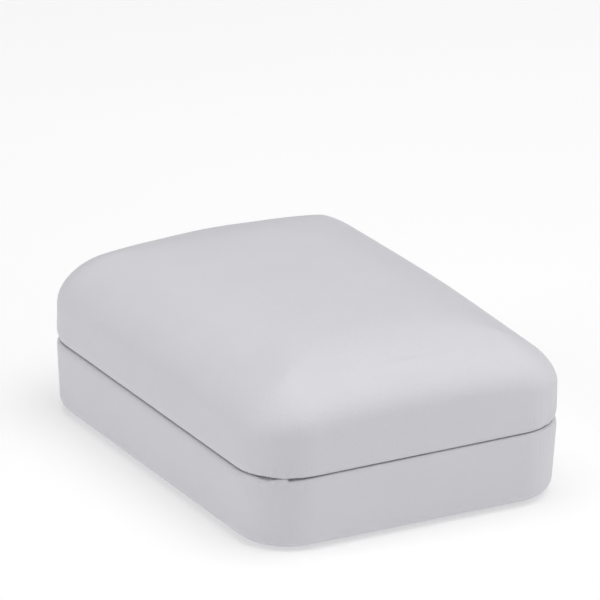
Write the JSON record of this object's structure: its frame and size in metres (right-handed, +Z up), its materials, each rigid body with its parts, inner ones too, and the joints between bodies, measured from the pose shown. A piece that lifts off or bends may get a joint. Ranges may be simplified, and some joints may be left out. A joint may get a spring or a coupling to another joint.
{
  "type": "jewelry gift box",
  "caption": "Clamshell jewelry gift box with a puffed leatherette lid, velvet-lined tray, lift-out insert and a snap hinge along the back.",
  "frame": {"origin": "middle of the flat underside that the closed box rests on", "axes": "+X along the long side, +Y towards the hinge at the back, +Z up; the lid opens at -Y"},
  "size_m": [0.095, 0.0716, 0.0364],
  "materials": {
    "leatherette": "white, fine grain, low sheen",
    "moulded_plastic": "matte moulded",
    "card": "plain grey-white board",
    "velvet": "short white pile",
    "foam": "open-cell foam",
    "satin": "smooth sheen",
    "hinge_steel": "nickel plated",
    "spring_steel": "bright spring steel"
  },
  "bodies": {
    "base": {"base_shell": "moulded_plastic", "base_cover": "leatherette", "base_underside_sheet": "leatherette", "base_liner_card": "card", "base_liner_velvet": "velvet", "hinge_base_leaf": "hinge_steel", "hinge_base_rivets": "hinge_steel", "hinge_pin": "hinge_steel", "hinge_spring": "spring_steel"},
    "insert": {"insert_card": "card", "insert_foam": "foam", "insert_velvet": "velvet"},
    "lid": {"lid_shell": "moulded_plastic", "lid_padding": "foam", "lid_cover": "leatherette", "lid_liner_card": "card", "lid_liner_velvet": "velvet", "lid_lining_board": "card", "lid_lining_padding": "foam", "lid_satin": "satin", "hinge_lid_leaf": "hinge_steel", "hinge_lid_rivets": "hinge_steel"}
  },
  "joints": [
    {"name": "lid_hinge", "type": "hinge", "parent": "base", "child": "lid", "pos_m": [0, 0.035, 0.016], "axis": [-1, 0, 0], "range_deg": [0, 100], "deforming": ["hinge_spring"]},
    {"name": "insert_lift", "type": "slide", "parent": "base", "child": "insert", "axis": [0, 0, 1], "range_m": [0, 0.008]}
  ]
}
